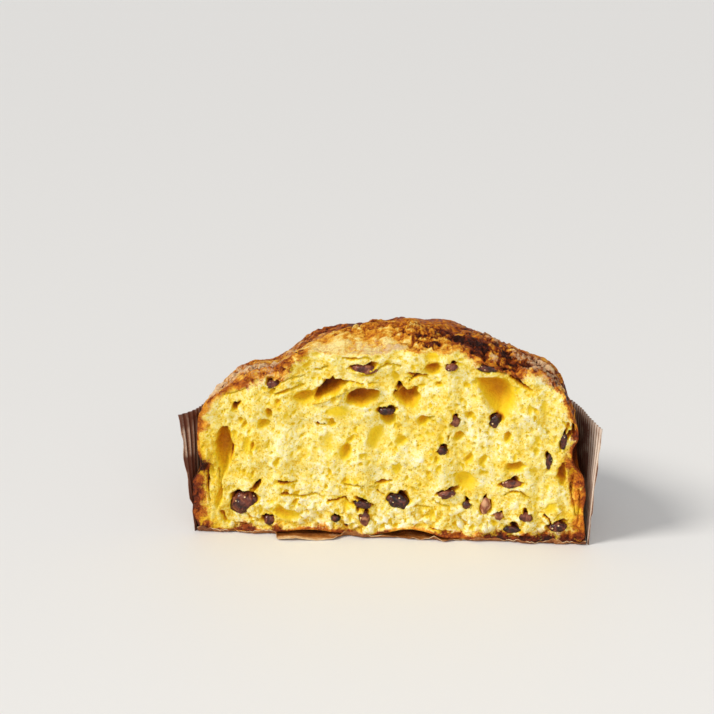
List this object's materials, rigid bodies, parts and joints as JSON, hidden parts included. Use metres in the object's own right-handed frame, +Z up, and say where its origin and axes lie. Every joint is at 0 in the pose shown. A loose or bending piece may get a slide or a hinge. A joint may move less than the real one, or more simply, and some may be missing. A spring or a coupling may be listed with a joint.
{
  "type": "half panettone",
  "caption": "Half of a low, wide panettone in its ribbed paper case, with an open yellow crumb, raisins in it and a browned domed crust.",
  "frame": {"origin": "middle of the footprint, on the surface that the half stands on", "axes": "+X along the cut face, to its right as one looks at it; +Y into the loaf, away from the cut face; +Z up"},
  "size_m": [0.2288, 0.1184, 0.119],
  "materials": {
    "loaf": "soft open yellow crumb with a browned, cracked crust",
    "raisin": "dark, wrinkled and glossy",
    "paper": "brown corrugated baking paper, matt"
  },
  "bodies": {
    "root": {"loaf": "loaf", "case_wall": "paper", "case_sheet": "paper", "raisin_01": "raisin", "raisin_02": "raisin", "raisin_03": "raisin", "raisin_04": "raisin", "raisin_05": "raisin", "raisin_06": "raisin", "raisin_07": "raisin", "raisin_08": "raisin", "raisin_09": "raisin", "raisin_10": "raisin", "raisin_11": "raisin", "raisin_12": "raisin", "raisin_13": "raisin", "raisin_14": "raisin", "raisin_15": "raisin", "raisin_16": "raisin", "raisin_17": "raisin", "raisin_18": "raisin", "raisin_19": "raisin", "raisin_20": "raisin", "raisin_21": "raisin", "raisin_22": "raisin", "raisin_23": "raisin", "raisin_24": "raisin"}
  },
  "joints": []
}
